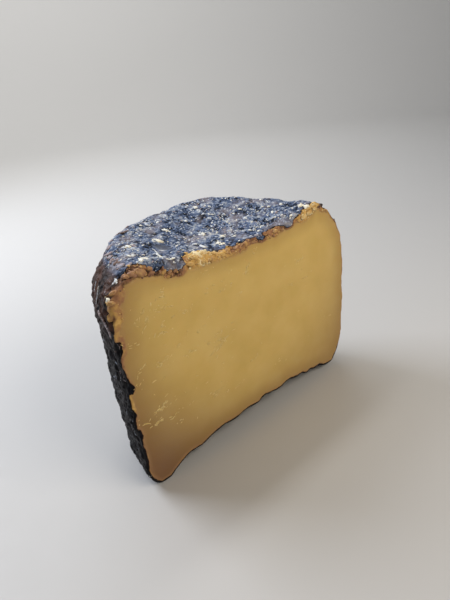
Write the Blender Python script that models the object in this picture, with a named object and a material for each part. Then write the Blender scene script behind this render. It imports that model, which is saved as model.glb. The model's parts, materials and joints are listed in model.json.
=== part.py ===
"""Half of a small sheep's milk tomme, standing on its foot rim with the cut face towards -Y.

Metres, +Z up. The wheel is worked out about its own axis, and the finished half is then moved so that the
middle of its box stands on the origin.
"""

import math
import random

import bmesh
import bpy
from mathutils import Vector, noise
from mathutils.geometry import delaunay_2d_cdt

MM = 0.001

# Sizes that change round the wheel have three values: at the +X end of the cut, at the back, at the -X end.
RADIUS = 90 * MM
MIDDLE_HEIGHT = 67 * MM
BELLY = 2.6 * MM  # how far the side draws in from its widest, at top and bottom
RIM_HEIGHT = (131.5 * MM, 134 * MM, 134 * MM)
SHOULDER_IN = (33 * MM, 18 * MM, 16.5 * MM)  # the top rim's crest stands this far inside the side
SHOULDER_DROP = (47 * MM, 46 * MM, 23 * MM)
FOOT_IN = (10 * MM, 8 * MM, 6 * MM)
FOOT_RISE = (24 * MM, 18 * MM, 13 * MM)
FOOT_POWER = 2.4
FOOT_WIDTH = 6.5 * MM  # flat ring that the wheel rests on
FOOT_LIFT = 3.2 * MM  # the base curls up this much at the +X end, over the angle below
FOOT_LIFT_TURN = math.radians(24)
TOP_DISH = 8.5 * MM
TOP_DISH_POWER = 1.6
BASE_DISH = 10.8 * MM
BASE_DISH_POWER = 3.8

# Relief, as waves of noise: size, length and seed
SWELL = (1.3 * MM, 46 * MM, 3)
KNOBS = (1.5 * MM, 15 * MM, 11)
GRAIN = (0.9 * MM, 7.5 * MM, 19)
PASTE_WAVE = (0.25 * MM, 30 * MM, 47)
CRUMBS = (2.2 * MM, 6.5 * MM, 37)
CALM_FOOT = 7 * MM  # the relief fades out over this height above the foot ring
PRESS_MARK = (-40 * MM, 23.5 * MM, 7.5 * MM, 1.6 * MM)  # smooth dent in the top: x, y, radius, depth

# Where the knife broke the rind away along the cut. A chip's size is the width of what broke off.
TOP_CHIP, LEFT_CHIP, RIGHT_CHIP, BASE_CHIP = 3.8 * MM, 1.3 * MM, 0.4 * MM, 0.8 * MM
TOP_STARTS = (112 * MM, 124 * MM)
BASE_ENDS = (12 * MM, 20 * MM)
CHIP_SHARE = 0.75  # of the sizes above, before the waves that make each place differ
CHIP_WAVES = (0.9, 11 * MM, 29)
RIND_REACH, PASTE_REACH = 1.5, 0.8  # how far a chip spreads over each surface, in chip sizes
RIND_LOSS, EDGE_LOSS = 0.6, 0.75  # how deep it goes into the rind beside the cut, and at its edge
PASTE_LOSS = 0.4
NAMED_CHIPS = (  # x and z on the cut, how far it reaches along the edge, and its size
    (-71 * MM, 131 * MM, 7 * MM, 4.5 * MM),  # crust lifted off the left shoulder
    (53 * MM, 129 * MM, 7 * MM, 3 * MM),  # bared patch on the right shoulder
    (69 * MM, 127 * MM, 9 * MM, -5.5 * MM),  # and beyond it a point of rind that stayed whole
    (84 * MM, 114 * MM, 4 * MM, 2.4 * MM),
    (-18 * MM, 125 * MM, 5 * MM, 2.5 * MM),
    (-89 * MM, 72 * MM, 3.2 * MM, 3.2 * MM),  # notches down the left side
    (-89 * MM, 98 * MM, 2.6 * MM, 2.0 * MM),
    (5 * MM, 11 * MM, 2.8 * MM, 2.4 * MM),  # nick in the arch of the base
    (52 * MM, 9 * MM, 2.5 * MM, 1.6 * MM),
)

# Spacing of the mesh
SIDE_ROWS = 38
FINE_ROWS = 400
COLUMN_STEP = 3.7 * MM
EDGE_STEPS = (2.4 * MM, 5.4 * MM)  # finer rows beside the cut
TOP_STEP = 4.4 * MM
BASE_STEP = 8 * MM
PASTE_STEP = 6.2 * MM
EDGE_STEP = 3.1 * MM
JITTER = 0.16  # of a lattice step
ROW_GAP = 0.93  # points nearer the outline than this share of their row's distance are left out
LATTICE_GAP = 0.6
SEED = 7
WELD = 0.001 * MM
SHARP = math.radians(40)


def clear_scene():
    for old in list(bpy.data.objects):
        bpy.data.objects.remove(old)


def ramp(value, start, end):
    """0 before start, 1 after end, and smooth between."""
    t = min(max((value - start) / (end - start), 0), 1)
    return t * t * (3 - 2 * t)


def at_turn(sizes, turn):
    """A size at an angle round the wheel, from its values at +X, at the back and at -X."""
    plus, back, minus = sizes
    end = plus if turn < math.pi / 2 else minus
    return back + (end - back) * math.cos(turn) ** 2


def foot_height(turn):
    return FOOT_LIFT * (1 - ramp(turn, 0, FOOT_LIFT_TURN))


def side_radius(turn, z):
    """The side's outline: a slight belly, an elliptical shoulder above and a foot drawn in below."""
    radius = RADIUS - BELLY * ((z - MIDDLE_HEIGHT) / MIDDLE_HEIGHT) ** 2
    drop = at_turn(SHOULDER_DROP, turn)
    up = min(max((z - at_turn(RIM_HEIGHT, turn) + drop) / drop, 0), 1)
    radius -= at_turn(SHOULDER_IN, turn) * (1 - math.sqrt(1 - up * up))
    rise = at_turn(FOOT_RISE, turn)
    down = min(max((rise + foot_height(turn) - z) / rise, 0), 1)
    return radius - at_turn(FOOT_IN, turn) * down**FOOT_POWER


def crest_radius(turn):
    return side_radius(turn, at_turn(RIM_HEIGHT, turn))


def foot_radius(turn):
    return side_radius(turn, foot_height(turn)) - FOOT_WIDTH


def polar(x, y):
    return math.atan2(max(y, 0), x), math.hypot(x, y)


def top_height(x, y):
    turn, radius = polar(x, y)
    part_out = radius / crest_radius(turn)
    middle = sum(RIM_HEIGHT) / 3
    rim = middle + (at_turn(RIM_HEIGHT, turn) - middle) * part_out**2
    return rim - TOP_DISH * (1 + math.cos(math.pi * part_out**TOP_DISH_POWER)) / 2


def base_height(x, y):
    turn, radius = polar(x, y)
    part_out = (radius / foot_radius(turn)) ** BASE_DISH_POWER
    return BASE_DISH * (1 - part_out) + foot_height(turn) * part_out


def on_top(flat):
    return Vector((flat.x, flat.y, top_height(flat.x, flat.y)))


def on_base(flat):
    return Vector((flat.x, flat.y, base_height(flat.x, flat.y)))


def on_cut(flat):
    return Vector((flat.x, 0, flat.y))


def column_turns():
    """Angles of the side's columns, closer together beside the cut."""
    near = [step / RADIUS for step in EDGE_STEPS]
    first = near[-1] + COLUMN_STEP / RADIUS
    count = round((math.pi - 2 * first) * RADIUS / COLUMN_STEP)
    middle = [first + (math.pi - 2 * first) * i / count for i in range(count + 1)]
    return [0, *near, *middle, *(math.pi - turn for turn in reversed(near)), math.pi]


def around(radius, turn, z):
    """A point of the wheel, lying exactly on the cut at both ends."""
    y = 0 if turn in (0, math.pi) else radius * math.sin(turn)
    return Vector((radius * math.cos(turn), y, z))


def up_the_side(turn):
    """Points evenly spaced up the side, from the foot ring's outer edge to the crest of the rim."""
    low = foot_height(turn)
    high = at_turn(RIM_HEIGHT, turn)
    fine = []
    for i in range(FINE_ROWS + 1):
        z = low + (high - low) * math.sin(math.pi / 2 * i / FINE_ROWS)
        fine.append(around(side_radius(turn, z), turn, z))
    run = [0]
    for here, there in zip(fine, fine[1:]):
        run.append(run[-1] + (there - here).length)
    points = []
    at = 0
    for i in range(SIDE_ROWS):
        goal = run[-1] * i / SIDE_ROWS
        while run[at + 1] < goal:
            at += 1
        points.append(fine[at].lerp(fine[at + 1], (goal - run[at]) / (run[at + 1] - run[at])))
    return [*points, fine[-1]]


def side_rows(turns):
    """The foot ring's inner edge, then the rows of the side, each running from +X round to -X."""
    ring = [around(foot_radius(turn), turn, foot_height(turn)) for turn in turns]
    return [ring, *zip(*(up_the_side(turn) for turn in turns))]


def add_grid(bm, rows, slot):
    rows = [[bm.verts.new(point) for point in row] for row in rows]
    for low, high in zip(rows, rows[1:]):
        for i in range(len(low) - 1):
            corners = (low[i], low[i + 1], high[i + 1], high[i])
            bm.faces.new(corners).material_index = slot


def edge_points(start, end):
    """Points in x along the cut, from one end to the other, without the ends."""
    count = round(abs(end - start) / EDGE_STEP)
    return [start + (end - start) * i / count for i in range(1, count)]


def gap_to(outline, point):
    """Distance from a flat point to a closed outline."""
    nearest = math.inf
    for a, b in zip(outline, outline[1:] + outline[:1]):
        along = b - a
        t = min(max((point - a).dot(along) / along.length_squared, 0), 1)
        nearest = min(nearest, (point - a - along * t).length)
    return nearest


def inside(outline, point):
    crossings = 0
    for a, b in zip(outline, outline[1:] + outline[:1]):
        if (a.y > point.y) != (b.y > point.y):
            crossings += point.x < a.x + (point.y - a.y) * (b.x - a.x) / (b.y - a.y)
    return crossings % 2 == 1


def inset_points(outline, distance, least_gap):
    """The outline moved inwards, without the points that would crowd its corners."""
    points = []
    for before, here, after in zip(outline[-1:] + outline, outline, outline[1:] + outline[:1]):
        along = (after - before).normalized()
        point = here + Vector((-along.y, along.x)) * distance
        if inside(outline, point) and gap_to(outline, point) > least_gap:
            points.append(point)
    return points


def fill_points(outline, step, rng):
    """Points for the middle of an outline: two rows beside it, then a loose lattice of triangles."""
    points = []
    for distance in EDGE_STEPS:
        points += inset_points(outline, distance, ROW_GAP * distance)
    free = EDGE_STEPS[-1] + LATTICE_GAP * step
    low = Vector((min(p.x for p in outline), min(p.y for p in outline)))
    high = Vector((max(p.x for p in outline), max(p.y for p in outline)))
    row_step = step * math.sqrt(3) / 2
    for row in range(int((high.y - low.y) / row_step) + 1):
        for column in range(int((high.x - low.x) / step) + 1):
            shift = Vector((rng.uniform(-1, 1), rng.uniform(-1, 1))) * JITTER * step
            point = low + Vector(((column + row % 2 / 2) * step, row * row_step)) + shift
            if inside(outline, point) and gap_to(outline, point) > free:
                points.append(point)
    return points


def add_patch(bm, outline, points, lift, slot):
    """Triangles over an outline that runs anticlockwise. lift takes each flat point to its place in space."""
    loop = list(range(len(outline)))
    flat, _, faces, *_ = delaunay_2d_cdt(outline + points, [], [loop], 1, WELD / 10)
    verts = [bm.verts.new(lift(point)) for point in flat]
    for face in faces:
        bm.faces.new([verts[i] for i in face]).material_index = slot


def build_surfaces(bm, rind, paste):
    """Lays down side, top, base and cut face as patches with common edges, and returns the cut's outline."""
    rng = random.Random(SEED)
    rows = side_rows(column_turns())
    add_grid(bm, rows, rind)

    crest = rows[-1]
    top_front = edge_points(crest[-1].x, crest[0].x)
    top = [point.xy for point in crest] + [Vector((x, 0)) for x in top_front]
    add_patch(bm, top, fill_points(top, TOP_STEP, rng), on_top, rind)

    foot = rows[0]
    base_front = edge_points(foot[-1].x, foot[0].x)
    base = [point.xy for point in foot] + [Vector((x, 0)) for x in base_front]
    add_patch(bm, base, fill_points(base, BASE_STEP, rng), on_base, rind)

    cut = [on_base(Vector((x, 0))).xz for x in base_front]
    cut += [row[0].xz for row in rows]
    cut += [on_top(Vector((x, 0))).xz for x in reversed(top_front)]
    cut += [row[-1].xz for row in reversed(rows)]
    add_patch(bm, cut, fill_points(cut, PASTE_STEP, rng), on_cut, paste)
    return cut


def wave(point, layer):
    """One layer of noise, between about -half and +half of its size."""
    size, length, seed = layer
    return size * noise.noise(point / length + Vector((seed, 2 * seed, 3 * seed)))


def rind_relief(point):
    """How far the rind stands out from the plain wheel."""
    out = wave(point, SWELL) + wave(point, KNOBS) + wave(point, GRAIN)
    x, y, radius, depth = PRESS_MARK
    if point.z > MIDDLE_HEIGHT:
        out -= depth * (1 - ramp(math.hypot(point.x - x, point.y - y), radius / 2, radius))
    return out


def chip_size(point):
    """How much broke away at a place along the cut."""
    top = ramp(point.z, *TOP_STARTS)
    low = 1 - ramp(point.z, *BASE_ENDS)
    side = LEFT_CHIP if point.x < 0 else RIGHT_CHIP
    usual = TOP_CHIP * top + BASE_CHIP * low + side * (1 - top - low)
    size = usual * (CHIP_SHARE + wave(point, CHIP_WAVES))
    for x, z, reach, extra in NAMED_CHIPS:
        away = math.hypot(point.x - x, point.z - z)
        size += extra * math.exp(-((away / reach) ** 2))
    return max(size, 0)


def rind_normal(vert, rind):
    """The rind's own direction at a point that it shares with the cut face."""
    outward = Vector((0, 0, 0))
    for face in vert.link_faces:
        if face.material_index == rind:
            outward += face.normal * face.calc_area()
    outward.y = 0
    return outward.normalized()


def relief_move(vert, cut, rind):
    """The step that takes a point from the plain shape to the real surface."""
    slots = {face.material_index for face in vert.link_faces}
    point = vert.co
    size = chip_size(point)
    calm = ramp(point.z, 0, CALM_FOOT)
    if rind not in slots:
        broken = max(1 - gap_to(cut, point.xz) / (PASTE_REACH * size + EDGE_STEPS[0]), 0)
        return Vector((0, PASTE_LOSS * size * broken + wave(point, PASTE_WAVE), 0))
    if len(slots) > 1:
        out = rind_relief(point) + wave(point, CRUMBS) - EDGE_LOSS * size
        return rind_normal(vert, rind) * calm * out + Vector((0, PASTE_LOSS * size, 0))
    broken = max(1 - point.y / (RIND_REACH * size + EDGE_STEPS[0]), 0)
    out = rind_relief(point) + wave(point, CRUMBS) * min(2 * broken, 1) - RIND_LOSS * size * broken
    return vert.normal * calm * out


def shape_relief(bm, cut, rind):
    bm.normal_update()
    moves = [relief_move(vert, cut, rind) for vert in bm.verts]
    for vert, move in zip(bm.verts, moves):
        vert.co += move


def food_material(name, colour, roughness):
    material = bpy.data.materials.new(name)
    material.use_nodes = True
    shader = material.node_tree.nodes["Principled BSDF"]
    shader.inputs["Base Color"].default_value = (*colour, 1)
    shader.inputs["Roughness"].default_value = roughness
    shader.inputs["Metallic"].default_value = 0
    return material


def build_half_wheel():
    mesh = bpy.data.meshes.new("half_wheel")
    mesh.materials.append(food_material("rind", (0.05, 0.06, 0.10), 0.75))
    mesh.materials.append(food_material("paste", (0.52, 0.36, 0.12), 0.5))
    rind, paste = range(2)
    bm = bmesh.new()
    cut = build_surfaces(bm, rind, paste)
    bmesh.ops.remove_doubles(bm, verts=bm.verts, dist=WELD)
    bmesh.ops.recalc_face_normals(bm, faces=bm.faces)
    shape_relief(bm, cut, rind)
    bmesh.ops.triangulate(bm, faces=bm.faces)
    low = Vector(min(vert.co[axis] for vert in bm.verts) for axis in range(3))
    high = Vector(max(vert.co[axis] for vert in bm.verts) for axis in range(3))
    middle = Vector(((low.x + high.x) / 2, (low.y + high.y) / 2, low.z))
    bmesh.ops.translate(bm, verts=bm.verts, vec=-middle)
    bm.to_mesh(mesh)
    bm.free()
    mesh.shade_smooth()
    mesh.set_sharp_from_angle(angle=SHARP)
    half = bpy.data.objects.new("half_wheel", mesh)
    bpy.context.scene.collection.objects.link(half)


clear_scene()
build_half_wheel()
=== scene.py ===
import json
import math

import bpy
import numpy as np
from mathutils import Matrix, Vector, noise
from mathutils.bvhtree import BVHTree
from mathutils.kdtree import KDTree

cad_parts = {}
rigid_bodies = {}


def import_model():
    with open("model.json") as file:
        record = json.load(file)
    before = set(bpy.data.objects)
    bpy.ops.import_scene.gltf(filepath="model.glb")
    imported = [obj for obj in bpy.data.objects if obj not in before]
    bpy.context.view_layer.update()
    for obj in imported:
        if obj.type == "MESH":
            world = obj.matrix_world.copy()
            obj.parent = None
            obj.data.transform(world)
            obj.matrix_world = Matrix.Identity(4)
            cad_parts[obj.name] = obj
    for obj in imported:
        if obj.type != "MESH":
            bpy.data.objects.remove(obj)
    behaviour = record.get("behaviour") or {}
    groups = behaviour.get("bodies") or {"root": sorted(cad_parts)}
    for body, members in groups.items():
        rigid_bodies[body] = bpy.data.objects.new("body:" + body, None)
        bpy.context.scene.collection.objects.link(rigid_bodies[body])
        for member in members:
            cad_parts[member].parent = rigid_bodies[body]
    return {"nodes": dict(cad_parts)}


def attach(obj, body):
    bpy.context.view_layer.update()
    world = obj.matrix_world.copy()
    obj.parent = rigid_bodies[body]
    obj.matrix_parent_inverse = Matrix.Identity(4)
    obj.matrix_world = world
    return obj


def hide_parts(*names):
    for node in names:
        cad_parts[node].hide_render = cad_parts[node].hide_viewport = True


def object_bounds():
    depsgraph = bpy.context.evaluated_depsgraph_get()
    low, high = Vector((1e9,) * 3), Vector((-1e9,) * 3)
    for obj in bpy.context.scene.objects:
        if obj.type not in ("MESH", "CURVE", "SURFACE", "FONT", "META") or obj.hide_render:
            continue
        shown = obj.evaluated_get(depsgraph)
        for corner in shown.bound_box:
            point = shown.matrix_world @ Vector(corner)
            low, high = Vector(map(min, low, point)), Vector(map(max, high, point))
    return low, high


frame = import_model()
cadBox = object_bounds()
mm = 0.001


def hexColour(code):
    channels = [int(code[i:i + 2], 16) / 255 for i in (1, 3, 5)]
    return [c / 12.92 if c <= 0.04045 else ((c + 0.055) / 1.055) ** 2.4 for c in channels] + [1]


def ramp(value, start, end):
    part = np.clip((value - start) / (end - start), 0, 1)
    return part * part * (3 - 2 * part)


def makeActive(piece):
    bpy.ops.object.select_all(action="DESELECT")
    piece.select_set(True)
    bpy.context.view_layer.objects.active = piece


def applyModifier(piece, kind, **settings):
    makeActive(piece)
    modifier = piece.modifiers.new(kind, kind)
    for name, value in settings.items():
        setattr(modifier, name, value)
    bpy.ops.object.modifier_apply(modifier=modifier.name)


def meshArray(items, field, width, kind=np.float32):
    values = np.empty(len(items) * width, kind)
    items.foreach_get(field, values)
    return values.reshape(-1, width) if width > 1 else values


def giveAttribute(piece, name, values):
    attribute = piece.data.attributes.new(name, "FLOAT", "POINT")
    attribute.data.foreach_set("value", np.asarray(values, np.float32))


def addNode(tree, kind, inputs=None, stops=None, out=0, **settings):
    # an input takes a value or another node's output; stops are a colour ramp's places and colours.
    # Math and Mix number their inputs: a Mix takes its share at 0, values at 2 and 3, and colours at 6 and 7
    node = tree.nodes.new("ShaderNode" + kind)
    for name, value in settings.items():
        setattr(node, name, value)
    for name, value in (inputs or {}).items():
        if isinstance(value, bpy.types.NodeSocket):
            tree.links.new(value, node.inputs[name])
        else:
            node.inputs[name].default_value = value
    if stops:
        elements = node.color_ramp.elements
        while len(elements) < len(stops):
            elements.new(1)
        for element, (position, code) in zip(elements, stops):
            element.position = position
            element.color = hexColour(code)
    return node.outputs[out] if node.outputs else None


def newMaterial(name):
    material = bpy.data.materials.new(name)
    material.use_nodes = True
    material.node_tree.nodes.clear()
    return material, material.node_tree


def dress(piece, material):
    piece.data.materials.clear()
    piece.data.materials.append(material)
    makeActive(piece)
    bpy.ops.object.shade_smooth()
    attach(piece, "root")


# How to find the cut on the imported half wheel
cutFace = {
    "depth": 4 * mm,  # the cut lies within this of the box's front
    "facing": -0.6,  # and its faces point at least this much to the front, as y
    "mergeWithin": 0.01 * mm,
    "outlineStep": 0.3 * mm,  # spacing of the points along its outline
    "neighbours": 5,  # corners of the solid that tell how far a point near them faces up
}


def copyHalfWheel():
    node = frame["nodes"]["half_wheel"]
    piece = bpy.data.objects.new("cheeseBody", node.data.copy())
    bpy.context.scene.collection.objects.link(piece)
    makeActive(piece)
    bpy.ops.object.mode_set(mode="EDIT")
    bpy.ops.mesh.select_all(action="SELECT")
    bpy.ops.mesh.remove_doubles(threshold=cutFace["mergeWithin"])
    bpy.ops.mesh.customdata_custom_splitnormals_clear()
    bpy.ops.object.mode_set(mode="OBJECT")
    return piece


def readGuide(piece):
    # the plain solid, kept to tell how far any point is from the cut outline, and on which side of it
    front = cadBox[0][1] + cutFace["depth"]
    faces = piece.data.polygons
    onCut = [face.normal.y < cutFace["facing"] and face.center.y < front for face in faces]
    sides = {}
    for face, cut in zip(faces, onCut):
        for key in face.edge_keys:
            sides.setdefault(key, set()).add(cut)
    outline = {key for key, cuts in sides.items() if len(cuts) == 2}
    corners = [vertex.co.copy() for vertex in piece.data.vertices]
    points = []
    for a, b in outline:
        steps = max(int((corners[a] - corners[b]).length / cutFace["outlineStep"]), 1)
        points += [corners[a].lerp(corners[b], k / steps) for k in range(steps)]
    guide = {"onCut": onCut, "outline": outline,
             "normals": [vertex.normal.copy() for vertex in piece.data.vertices],
             "surface": BVHTree.FromPolygons(corners, [tuple(face.vertices) for face in faces])}
    for name, places in (("outlineTree", points), ("cornerTree", corners)):
        guide[name] = KDTree(len(places))
        for i, place in enumerate(places):
            guide[name].insert(place, i)
        guide[name].balance()
    return guide


def readFields(guide, points):
    # for each point: signed distance from the cut outline in mm, above 0 on the cut, and how far it faces up
    gap, up = np.empty(len(points)), np.empty(len(points))
    for i, point in enumerate(points):
        face = guide["surface"].find_nearest(point)[2]
        reach = guide["outlineTree"].find(point)[2] / mm
        near = guide["cornerTree"].find_n(point, cutFace["neighbours"])
        gap[i] = reach if guide["onCut"][face] else -reach
        up[i] = sum(guide["normals"][index].z for _, index, _ in near) / len(near)
    return gap, up


crust = {
    # along the top of the cut: x, how far the broken crust reaches down the cut and back over the rind, its
    # tone from brown, 0, to cream, 1, and how far the rind itself hangs over the cut, all lengths in mm
    "top": [(-80, 0, 2.5, 0.36, 0.5), (-76, 0.4, 3, 0.38, 0.5), (-72, 2, 3.4, 0.42, 0.4),
            (-69, 3, 3, 0.42, 0.4), (-65, 3, 0.8, 0.42, 0.6), (-63, 2.6, 0, 0.4, 2.2),
            (-60, 2.4, 0, 0.3, 3.2), (-56, 2.5, 0, 0.5, 3.9), (-51, 2.3, 0, 0.4, 4.2),
            (-46, 2.5, 0, 0.34, 4), (-43.5, 3, 0.6, 0.5, 1.8), (-41, 3, 3.4, 0.76, 0.3),
            (-36, 2.8, 5, 0.84, 0.3), (-30, 2.4, 6, 0.88, 0.3), (-20, 2.2, 5.4, 0.82, 0.3),
            (-14, 2, 4.4, 0.6, 0.3), (-8, 2, 4, 0.56, 0.3), (-1, 2.4, 3.2, 0.5, 0.4),
            (5, 2.4, 0.8, 0.44, 0.6), (11, 2.2, 0, 0.32, 0.8), (16, 1, 0.5, 0.42, 0.6),
            (20, 0.6, 0.8, 0.5, 0.5), (24, 1.6, 2, 0.58, 0.4), (30, 1.8, 0.2, 0.4, 0.8),
            (35, 1.4, 0, 0.34, 1.6), (39, 1.6, 0, 0.36, 1.6), (42, 3, 0.2, 0.6, 0.6),
            (47, 4, 0.2, 0.7, 1.1), (52, 4.2, 1.4, 0.84, 0.5), (58, 3.6, 2, 0.88, 0.4),
            (64, 3, 1, 0.6, 0.4), (70, 1.4, 0, 0.6, 0.5), (76, 0.6, 0, 0.6, 0.5)],
    # the same down the left side of it: z, reach over the cut and back over the rind, and tone
    "left": [(55, 0, 0, 0.7), (58, 0.9, 0, 0.74), (66, 0.9, 0, 0.74), (70, 0.1, 0, 0.6), (84, 0.2, 0, 0.5),
             (88, 1.3, 0, 0.46), (98, 1.3, 0, 0.46), (104, 1.8, 0.4, 0.62), (109, 3.2, 2, 0.74),
             (117, 3.4, 3, 0.62), (122, 2.4, 4, 0.48), (126, 0.4, 4, 0.4), (128, 0, 4, 0.38)],
    "topFrom": (108, 118),  # z over which the crust of the top comes in
    "leftFrom": (66, 78),  # and how far left of the middle that of the left side does
    "least": 0.3,  # mm of crust that shows where the tables have none, and its tone
    "leastTone": 0.42,
    "leastFades": (0, 0.8),  # mm of crust over which the tables' tone takes over
    # thickness in mm of the dark band where the knife went through the rind, partly the rind's own section
    # and partly painted shade under its edge; down the left it changes with z
    "rindLeft": [(10, 1.9), (24, 1.8), (30, 0.7), (40, 0.9), (47, 1.7), (52, 1.5), (57, 0.7), (95, 0.6),
                 (101, 0.3)],
    "rindRight": 0.4,
    # along the foot the dark band is wider: the rind's section and painted shadow under its lower edge
    "footRindAndShade": 1.7,
    "footEnds": (12, 20),  # z over which the dark band of the foot gives way to that of the sides
    "topEdge": (112, 120),  # and z over which theirs gives way to that of the top
    "topEnds": (-82, -76),  # the top edge ends this far short of the sides, as minus the mm from the middle
    "notchEdge": (0.5, 1.4),  # a notch fades between these shares of its radius
    # x, z, depth and radius in mm of the places where the dark band bites into the cut: dark rind at some,
    # painted shade in holes and gaps between lumps at others
    "notches": [(-88.5, 98, 1.5, 1.7), (-87, 71.5, 3.2, 2.7), (5, 11, 1.6, 2.4), (89, 85, 1.3, 1.3),
                (89, 76, 1.3, 1.4), (-60, 129, 2.4, 1.8), (-42.5, 126, 2.6, 1.5), (-13, 123.5, 0.9, 2),
                (12, 123.4, 2, 3.4), (23, 122, 0.6, 2), (36, 125, 2.6, 3.6), (43, 126, 1.3, 2.2),
                (67.5, 128.5, 2.4, 1.8)],
    "rimRadius": (80.5, 77.0),  # mm from the wheel's axis over which the blue mould comes in
    "axis": (0, -45.4),  # its x and y
    "overCut": (-0.6, 0.2),  # mm from the outline over which it reaches the overhang
    "facesUp": (0.5, 0.8),  # the blue mould also needs a surface that faces up this much
}


def crustColumns(name):
    # each column of a crust table beside the places it is given at
    places, *columns = np.array(crust[name]).T
    return [(places, column) for column in columns]


def topStretch(x, z):
    # 1 along the top edge of the cut and 0 down its sides
    return ramp(z, *crust["topEdge"]) * ramp(-np.abs(x), *crust["topEnds"])


def crustReach(points):
    # in mm from the outline over the cut: where the rind ends, how wide the broken crust is, and its tone
    x, z = points[:, 0] / mm, points[:, 2] / mm
    topRise, leftShare = ramp(z, *crust["topFrom"]), ramp(-x, *crust["leftFrom"])
    topOver, topBack, topTone, topRind = [np.interp(x, *columns) for columns in crustColumns("top")]
    leftOver, leftBack, leftTone = [np.interp(z, *columns) for columns in crustColumns("left")]
    topOver, topBack = topOver * topRise, topBack * topRise
    leftOver, leftBack = leftOver * leftShare, leftBack * leftShare
    tone = np.where(leftOver > topOver, leftTone, topTone)
    known = ramp(leftOver + topOver + leftBack + topBack, *crust["leastFades"])
    tone = crust["leastTone"] + (tone - crust["leastTone"]) * known
    foot, topShare = 1 - ramp(z, *crust["footEnds"]), topStretch(x, z)
    side = np.where(x < 0, np.interp(z, *np.array(crust["rindLeft"]).T), crust["rindRight"])
    rind = side * (1 - foot - topShare) + crust["footRindAndShade"] * foot + topRind * topShare
    for notchX, notchZ, depth, radius in crust["notches"]:
        edge = [share * radius for share in crust["notchEdge"]]
        rind += depth * (1 - ramp(np.hypot(x - notchX, z - notchZ), *edge))
    back = np.maximum(topBack, leftBack)
    return rind - back, crust["least"] + np.maximum(topOver, leftOver) + back, tone


def mouldShare(points, up, gap):
    # how much the blue mould covers each point: from the crest of the rim to where it hangs over the cut
    x, y = points[:, 0] / mm - crust["axis"][0], points[:, 1] / mm - crust["axis"][1]
    top = ramp(up, *crust["facesUp"]) * ramp(-np.hypot(x, y), *(-r for r in crust["rimRadius"]))
    return np.maximum(top, ramp(gap, *crust["overCut"]) * topStretch(points[:, 0] / mm, points[:, 2] / mm))


body = {
    "smoothLevels": 2,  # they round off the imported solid's facets
    "voxel": 0.72 * mm,  # of the fine mesh that takes the relief
    "triangles": 190000,  # what it is thinned to in the end
    "footCalm": (1, 7),  # mm above the table over which the relief comes in
    "weightSteps": 16,  # vertex weights are rounded to this many steps
    "rindFades": (0, 1.2),  # mm from the outline over which the rind's relief comes in
    "crustFades": ((-1.8, 0), (-0.8, 1.0)),  # and mm round the crust's two edges over which its own does
    "crustWidths": (0.6, 2.8),  # a narrow crust has less relief than a wide one
    "crustTop": ((118, 123), (-84, -76)),  # z and x over which the rougher crust of the top comes in
    "crustSides": 0.3,  # share of its relief that the rest of the crust has
    "pasteFades": (0, 2),  # mm past the crust over which the paste's relief comes in
    "dent": (-40 * mm, -21.5 * mm, 5.5 * mm),  # smooth pressed place in the top: x, y, radius
    "dentKeeps": 0.15,  # share of the relief that is left in it
    "dentRelief": (0.8, 1.5),  # shares of its radius over which the relief comes back
    "dentColour": (0.6, 1.1),  # and those over which its colour fades out
    # group, texture, size and height in mm, level that stays put, and the texture's own settings
    "relief": [("topRind", "CLOUDS", 4.2, 1.2, 0.5, {"noise_depth": 1}),
               ("topRind", "VORONOI", 2.8, -0.9, 0.4, {}),
               ("topRind", "CLOUDS", 1.5, 0.6, 0.5, {"noise_depth": 0}),
               ("sideRind", "CLOUDS", 6.5, 1.7, 0.6, {"noise_depth": 1, "noise_type": "HARD_NOISE"}),
               ("sideRind", "VORONOI", 3.4, -0.9, 0.4, {}),
               ("sideRind", "CLOUDS", 1.8, 0.7, 0.55, {"noise_depth": 0}),
               ("brokenCrust", "VORONOI", 5.0, -1.5, 0.35, {}),
               ("brokenCrust", "CLOUDS", 2.8, 1.7, 0.55, {"noise_depth": 1}),
               ("paste", "CLOUDS", 9.0, 0.12, 0.5, {"noise_depth": 1})],
}


def dentEdge(points, start, end):
    # from 0 in the pressed place to 1 outside it, between these shares of its radius
    x, y, radius = body["dent"]
    return ramp(np.hypot(points[:, 0] - x, points[:, 1] - y), start * radius, end * radius)


def setWeights(piece, name, weights):
    group = piece.vertex_groups.new(name=name)
    steps = np.round(np.clip(weights, 0, 1) * body["weightSteps"]).astype(int)
    for step in range(1, body["weightSteps"] + 1):
        group.add(np.flatnonzero(steps == step).tolist(), step / body["weightSteps"], "REPLACE")


def weighRelief(piece, guide):
    points = meshArray(piece.data.vertices, "co", 3)
    gap, up = readFields(guide, [Vector(point) for point in points])
    rindReach, bandReach = crustReach(points)[:2]
    top = mouldShare(points, up, gap)
    calm = ramp(points[:, 2] / mm, *body["footCalm"])
    rind = ramp(-gap, *body["rindFades"]) * calm
    overhang = ramp(rindReach - gap, *body["rindFades"]) * calm
    undented = body["dentKeeps"] + (1 - body["dentKeeps"]) * dentEdge(points, *body["dentRelief"])
    setWeights(piece, "topRind", np.maximum(rind, overhang) * top * undented)
    setWeights(piece, "sideRind", rind * (1 - top))
    pastRind, pastBand = gap - rindReach, gap - rindReach - bandReach
    inBand = ramp(pastRind, *body["crustFades"][0]) * (1 - ramp(pastBand, *body["crustFades"][1]))
    (high, inner), sides = body["crustTop"], body["crustSides"]
    smoother = sides + (1 - sides) * ramp(points[:, 2] / mm, *high) * ramp(points[:, 0] / mm, *inner)
    setWeights(piece, "brokenCrust", inBand * ramp(bandReach, *body["crustWidths"]) * smoother * calm)
    setWeights(piece, "paste", ramp(pastBand, *body["pasteFades"]))


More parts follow.
